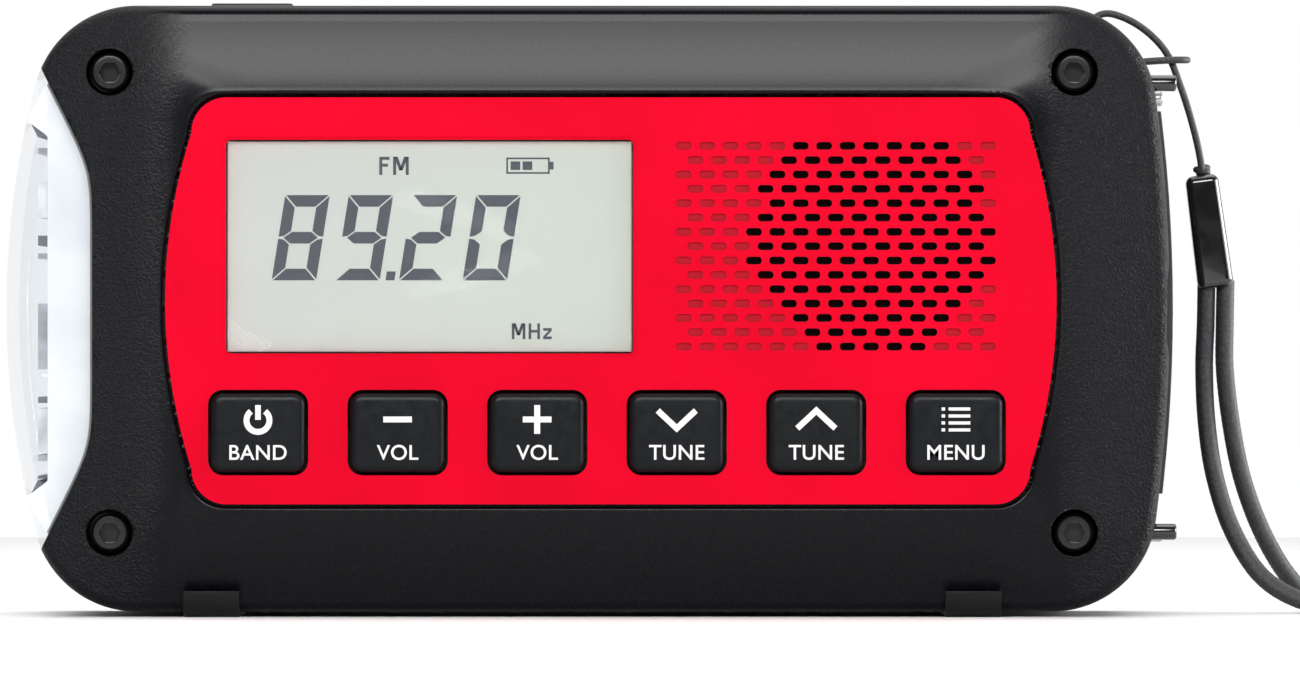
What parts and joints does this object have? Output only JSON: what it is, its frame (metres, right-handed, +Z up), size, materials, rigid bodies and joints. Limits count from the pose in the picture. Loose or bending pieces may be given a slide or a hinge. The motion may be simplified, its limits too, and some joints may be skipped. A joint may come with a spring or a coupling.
{
  "type": "emergency radio",
  "caption": "Compact emergency radio with red faceplate, digital display, press keys, end lamp, folding rear crank, telescopic antenna, solar panel and wrist strap.",
  "frame": {"origin": "centre of the footprint, on the surface that the feet stand on", "axes": "+X to the right seen from the front, +Y to the back, +Z up"},
  "size_m": [0.1913, 0.09, 0.0795],
  "materials": {
    "shell_black": "fine moulded texture",
    "faceplate_red": "satin moulded",
    "seal_rubber": "matte",
    "foot_rubber": "matte",
    "window_clear": "clear acrylic",
    "display": "satin film",
    "circuit_board": "solder mask",
    "switch_metal": "satin",
    "key_black": "satin with white prints",
    "cloth": "woven",
    "speaker_steel": "satin",
    "cone_paper": "pressed paper",
    "magnet": "ground ferrite",
    "screw_black": "black oxide",
    "solar_glass": "clear epoxy",
    "solar_cell": "dark blue cell",
    "lens_clear": "clear polycarbonate",
    "reflector": "vacuum metallised",
    "lamp_white": "white solder mask",
    "led": "moulded lens",
    "cell_wrap": "shrink wrap",
    "holder_black": "moulded",
    "brass": "turned",
    "crank_black": "fine moulded texture",
    "gear_white": "acetal",
    "pin_steel": "polished",
    "frame_steel": "pressed sheet",
    "copper": "enamelled wire",
    "ferrite": "sintered",
    "mast_chrome": "plated",
    "socket_metal": "nickel",
    "post_black": "gloss",
    "cord_black": "braided"
  },
  "bodies": {
    "housing": {"front_shell": "shell_black", "rear_shell": "shell_black", "shell_seal": "seal_rubber", "faceplate": "faceplate_red", "lcd_window": "window_clear", "lcd_module": "display", "main_board": "circuit_board", "tact_switches": "switch_metal", "grille_cloth": "cloth", "speaker_frame": "speaker_steel", "speaker_cone": "cone_paper", "speaker_magnet": "magnet", "housing_screws": "screw_black", "solar_cover": "solar_glass", "solar_cells": "solar_cell", "lamp_lens": "lens_clear", "lamp_reflector": "reflector", "lamp_board": "lamp_white", "lamp_leds": "led", "button_board": "circuit_board", "battery_cell": "cell_wrap", "battery_holder": "holder_black", "crank_well": "shell_black", "crank_bush": "brass", "gearbox_frame": "frame_steel", "generator_can": "frame_steel", "generator_coil": "copper", "ferrite_rod": "ferrite", "ferrite_coil": "copper", "port_board": "circuit_board", "usb_c_socket": "socket_metal", "usb_a_socket": "socket_metal", "audio_jack": "holder_black", "port_bezel": "holder_black", "port_cover_pin": "pin_steel", "end_posts": "post_black", "rubber_feet": "foot_rubber", "strap_thin_cord": "cord_black", "strap_ferrule": "post_black", "strap_loop": "cord_black"},
    "key_band": {"key_band": "key_black"},
    "key_volume_down": {"key_volume_down": "key_black"},
    "key_volume_up": {"key_volume_up": "key_black"},
    "key_tune_down": {"key_tune_down": "key_black"},
    "key_tune_up": {"key_tune_up": "key_black"},
    "key_menu": {"key_menu": "key_black"},
    "lamp_button": {"lamp_button": "key_black"},
    "port_cover": {"port_cover": "shell_black"},
    "crank_hub": {"crank_hub": "crank_black", "drive_gear": "gear_white", "crank_arm_pin": "pin_steel"},
    "crank_arm": {"crank_arm": "crank_black"},
    "crank_knob": {"crank_knob": "crank_black"},
    "idler_gear": {"idler_gear": "gear_white"},
    "generator_rotor": {"generator_rotor": "magnet"},
    "antenna_turret": {"antenna_turret": "crank_black", "antenna_hinge_pin": "pin_steel"},
    "antenna_mast": {"antenna_mast": "mast_chrome"},
    "antenna_tube_2": {"antenna_tube_2": "mast_chrome"},
    "antenna_tube_3": {"antenna_tube_3": "mast_chrome"},
    "antenna_tip": {"antenna_tip": "mast_chrome"}
  },
  "joints": [
    {"name": "key_band_press", "type": "slide", "parent": "housing", "child": "key_band", "axis": [0, 1, 0], "range_m": [0, 0.0008], "stiffness_N_per_m": 400, "springref_m": -0.001},
    {"name": "key_volume_down_press", "type": "slide", "parent": "housing", "child": "key_volume_down", "axis": [0, 1, 0], "range_m": [0, 0.0008], "stiffness_N_per_m": 400, "springref_m": -0.001},
    {"name": "key_volume_up_press", "type": "slide", "parent": "housing", "child": "key_volume_up", "axis": [0, 1, 0], "range_m": [0, 0.0008], "stiffness_N_per_m": 400, "springref_m": -0.001},
    {"name": "key_tune_down_press", "type": "slide", "parent": "housing", "child": "key_tune_down", "axis": [0, 1, 0], "range_m": [0, 0.0008], "stiffness_N_per_m": 400, "springref_m": -0.001},
    {"name": "key_tune_up_press", "type": "slide", "parent": "housing", "child": "key_tune_up", "axis": [0, 1, 0], "range_m": [0, 0.0008], "stiffness_N_per_m": 400, "springref_m": -0.001},
    {"name": "key_menu_press", "type": "slide", "parent": "housing", "child": "key_menu", "axis": [0, 1, 0], "range_m": [0, 0.0008], "stiffness_N_per_m": 400, "springref_m": -0.001},
    {"name": "lamp_button_press", "type": "slide", "parent": "housing", "child": "lamp_button", "axis": [0, 0, -1], "range_m": [0, 0.0008], "stiffness_N_per_m": 400, "springref_m": -0.001},
    {"name": "port_cover_hinge", "type": "hinge", "parent": "housing", "child": "port_cover", "pos_m": [0.0733, 0.004, 0.04063], "axis": [0, 0, 1], "range_deg": [0, 80]},
    {"name": "crank_spin", "type": "hinge", "parent": "housing", "child": "crank_hub", "pos_m": [-0.008, 0.011, 0.037], "axis": [0, 1, 0], "continuous": true},
    {"name": "crank_arm_fold", "type": "hinge", "parent": "crank_hub", "child": "crank_arm", "pos_m": [-0.008, 0.0224, 0.046], "axis": [1, 0, 0], "range_deg": [0, 180]},
    {"name": "crank_knob_spin", "type": "hinge", "parent": "crank_arm", "child": "crank_knob", "pos_m": [-0.008, 0.015, 0.016], "axis": [0, 1, 0], "continuous": true},
    {"name": "idler_spin", "type": "hinge", "parent": "housing", "child": "idler_gear", "pos_m": [0.00797, 0.004, 0.04904], "axis": [0, 1, 0], "continuous": true},
    {"name": "rotor_spin", "type": "hinge", "parent": "housing", "child": "generator_rotor", "pos_m": [-0.00963, 0, 0.04904], "axis": [0, 1, 0], "continuous": true},
    {"name": "antenna_swivel", "type": "hinge", "parent": "housing", "child": "antenna_turret", "pos_m": [-0.052, 0.0197, 0.069], "axis": [0, 0, 1], "range_deg": [0, 135]},
    {"name": "antenna_tilt", "type": "hinge", "parent": "antenna_turret", "child": "antenna_mast", "pos_m": [-0.052, 0.0197, 0.074], "axis": [0, -1, 0], "range_deg": [0, 90]},
    {"name": "antenna_slide_2", "type": "slide", "parent": "antenna_mast", "child": "antenna_tube_2", "axis": [1, 0, 0], "range_m": [0, 0.088]},
    {"name": "antenna_slide_3", "type": "slide", "parent": "antenna_tube_2", "child": "antenna_tube_3", "axis": [1, 0, 0], "range_m": [0, 0.088]},
    {"name": "antenna_slide_4", "type": "slide", "parent": "antenna_tube_3", "child": "antenna_tip", "axis": [1, 0, 0], "range_m": [0, 0.088]}
  ],
  "couplings": [
    {"joint": "idler_spin", "follows": "crank_spin", "ratio": -2.5714},
    {"joint": "rotor_spin", "follows": "crank_spin", "ratio": 5.5102}
  ]
}
